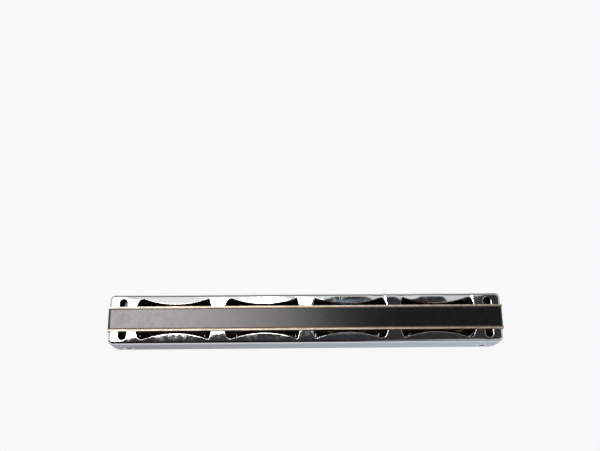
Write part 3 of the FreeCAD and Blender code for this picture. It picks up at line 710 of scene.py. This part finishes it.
def between_planes(tree, sideways, up, slopes, edges):
    """A mask of the directions that lean sideways between two slopes, each with a soft edge."""
    low, high = slopes
    low_edge, high_edge = edges
    past_low = sum_node(tree, "SUBTRACT", sideways, sum_node(tree, "MULTIPLY", up, low))
    past_high = sum_node(tree, "SUBTRACT", sideways, sum_node(tree, "MULTIPLY", up, high))
    return sum_node(tree, "MINIMUM",
                    to_range(tree, past_low, 0.0, 1.0, -low_edge, low_edge),
                    to_range(tree, past_high, 1.0, 0.0, -high_edge, high_edge))


def past_corner(tree, across, out, up):
    """How far a direction lies beyond the front card's slanted edge."""
    edge = sum_node(tree, "ADD", out, sum_node(tree, "MULTIPLY", up, FRONT_CARD_START))
    return sum_node(tree, "SUBTRACT", sum_node(tree, "MULTIPLY", across, FRONT_CARD_SLANT), edge)


print("edges ready")

# %% [markdown]
# With these edges, the room is two pictures laid over each other: a mask of all that is pale,
# and the colour of the dark that shows everywhere else. Slopes are sideways over up, so a slope
# of 1 leans by 45 degrees.

# %% Pale and dark parts of the room
HORIZON, HORIZON_AT_RIGHT, HORIZON_EDGE = 0.20, 0.45, 0.04
RISE_ACROSS, RISE_OUT = (0.08, 0.24), (-0.3, 0.0)
CARD_SLOPES, CARD_EDGES = (0.36, 0.75), (0.02, 0.05)
FRONT_CARD_SLOPES, FRONT_CARD_EDGES = (-0.7, 0.06), (0.03, 0.03)
FRONT_CARD_CORNER = (-0.02, 0.06)
SKYLIGHT_ACROSS, ACROSS_EDGES = (0.055, 0.092), (0.012, 0.012)
SKYLIGHT_OUT, OUT_EDGES = (0.222, 0.262), (0.008, 0.008)
SKYLIGHT_COLOUR = (0.19, 0.22, 0.29, 1.0)
DARK_LEFT, DARK_RIGHT = (0.055, 0.050, 0.050, 1.0), (0.040, 0.038, 0.042, 1.0)
DARK_FRONT = (0.022, 0.013, 0.012, 1.0)
DARK_TURN, FRONT_TURN = (-0.2, 0.1), (-0.3, 0.1)


def pale_parts(tree, across, out, up):
    """Where the room is pale: its horizon, the card behind and the card in front."""
    front_right = sum_node(tree, "MINIMUM",
                           to_range(tree, across, 0.0, 1.0, *RISE_ACROSS),
                           to_range(tree, out, 1.0, 0.0, *RISE_OUT))
    above = sum_node(tree, "SUBTRACT", up, to_range(tree, front_right, HORIZON, HORIZON_AT_RIGHT))
    low = to_range(tree, above, 1.0, 0.0, -HORIZON_EDGE, HORIZON_EDGE)
    card = between_planes(tree, out, up, CARD_SLOPES, CARD_EDGES)
    corner = to_range(tree, past_corner(tree, across, out, up), 0.0, 1.0, *FRONT_CARD_CORNER)
    front = between_planes(tree, out, up, FRONT_CARD_SLOPES, FRONT_CARD_EDGES)
    front_card = sum_node(tree, "MINIMUM", front, corner)
    return sum_node(tree, "MAXIMUM", sum_node(tree, "MAXIMUM", card, low), front_card)


def dark_parts(tree, across, out, up):
    """The colour of the dark room, darker in front, with its skylight."""
    dark = mix_colours(tree, to_range(tree, across, 0.0, 1.0, *DARK_TURN), DARK_LEFT, DARK_RIGHT)
    dark = mix_colours(tree, to_range(tree, out, 1.0, 0.0, *FRONT_TURN), dark, DARK_FRONT)
    skylight = sum_node(tree, "MINIMUM",
                        between_planes(tree, across, up, SKYLIGHT_ACROSS, ACROSS_EDGES),
                        between_planes(tree, out, up, SKYLIGHT_OUT, OUT_EDGES))
    return mix_colours(tree, skylight, dark, SKYLIGHT_COLOUR)


print("horizon at", HORIZON, "and at the front right", HORIZON_AT_RIGHT)

# %% [markdown]
# The world puts the two together. Its pale parts are warmer and brighter on the left, where the
# light comes from. An image of a studio could do all this, but it would be one more file.

# %% Room
PALE_LEFT, PALE_RIGHT = (1.14, 1.13, 1.08, 1.0), (0.80, 0.80, 0.79, 1.0)
PALE_TURN = (-0.2, 0.2)
BACKGROUND = (0.94, 0.94, 0.945, 1.0)


def make_room():
    """A world that is white for the camera and a room for everything else."""
    world = bpy.data.worlds.new("studio")
    bpy.context.scene.world = world
    world.use_nodes = True
    tree = world.node_tree
    direction = add_node(tree, "ShaderNodeTexCoord").outputs["Generated"]
    across, out, up = parts_of(tree, direction)
    pale = mix_colours(tree, to_range(tree, across, 0.0, 1.0, *PALE_TURN), PALE_LEFT, PALE_RIGHT)
    dark = dark_parts(tree, across, out, up)
    room = mix_colours(tree, pale_parts(tree, across, out, up), dark, pale)
    seen = add_node(tree, "ShaderNodeLightPath").outputs["Is Camera Ray"]
    tree.links.new(mix_colours(tree, seen, room, BACKGROUND), tree.nodes["Background"].inputs["Color"])
    return world


print("room drawn in", len(make_room().node_tree.nodes), "nodes")

# %% [markdown]
# One long soft lamp hangs behind and to the left. It is a narrow strip at a slant, and the
# chrome and the comb mirror its near edge: left of it they are white, right of it dark. An area
# lamp does this better than a spot, because a mirror shows a lamp's shape.

# %% Lamp
LAMP_LEVEL = 1.1
LAMP_DEPTH = 0.145
LAMP_EDGE = Vector((-0.037, 0.266, LAMP_LEVEL))
LAMP_LEFT, LAMP_RIGHT = -0.66, 0.10
LAMP_SLANT = math.radians(15.4)
LAMP_BRIGHTNESS = 9.3
LAMP_COLOUR = (1.0, 0.985, 0.955)


def add_lamp():
    """A rectangular lamp that shines straight down, placed by a point of its near edge."""
    length = LAMP_RIGHT - LAMP_LEFT
    lamp = bpy.data.lights.new("strip_lamp", "AREA")
    lamp.shape = "RECTANGLE"
    lamp.size = length
    lamp.size_y = LAMP_DEPTH
    lamp.energy = LAMP_BRIGHTNESS * math.pi * length * LAMP_DEPTH
    lamp.color = LAMP_COLOUR
    along = Vector((math.cos(LAMP_SLANT), math.sin(LAMP_SLANT), 0.0))
    across = Vector((-math.sin(LAMP_SLANT), math.cos(LAMP_SLANT), 0.0))
    holder = add_object("strip_lamp", lamp)
    holder.location = LAMP_EDGE + along * (LAMP_LEFT + LAMP_RIGHT) / 2 + across * LAMP_DEPTH / 2
    holder.rotation_euler = (0.0, 0.0, LAMP_SLANT)
    return holder


strip_lamp = add_lamp()
lamp_place = [round(part, 3) for part in strip_lamp.location]
print("lamp of", round(strip_lamp.data.energy, 2), "W at", lamp_place)

# %% [markdown]
# The camera looks down steeply from the viewer's side, a little to the left of the middle, and
# leans by three degrees. Its lens is a normal one. A constraint could aim it, but when the turn
# is worked out here, the lean can simply be added to it. Blender gives a camera's sensor and
# lens in millimetres.

# %% Camera
CAMERA_PLACE = Vector((-10.3, -86.3, 388.7)) * MM
CAMERA_AIM = Vector((-2.2, 42.0, 27.0)) * MM
CAMERA_LEAN = math.radians(3.1)
SENSOR_WIDTH, LENS = 36.0, 51.6
NEAREST_SEEN = 10.0 * MM
camera_data = bpy.data.cameras.new("camera")
camera_data.sensor_width = SENSOR_WIDTH
camera_data.lens = LENS
camera_data.clip_start = NEAREST_SEEN
camera = add_object("camera", camera_data)
camera.location = CAMERA_PLACE
camera.rotation_mode = "QUATERNION"
looking = (CAMERA_AIM - CAMERA_PLACE).to_track_quat("-Z", "Y")
camera.rotation_quaternion = looking @ Quaternion((0.0, 0.0, 1.0), CAMERA_LEAN)
bpy.context.scene.camera = camera
bpy.context.scene.view_settings.view_transform = "Standard"
print("camera", round((CAMERA_AIM - CAMERA_PLACE).length / MM), "mm from what it looks at")
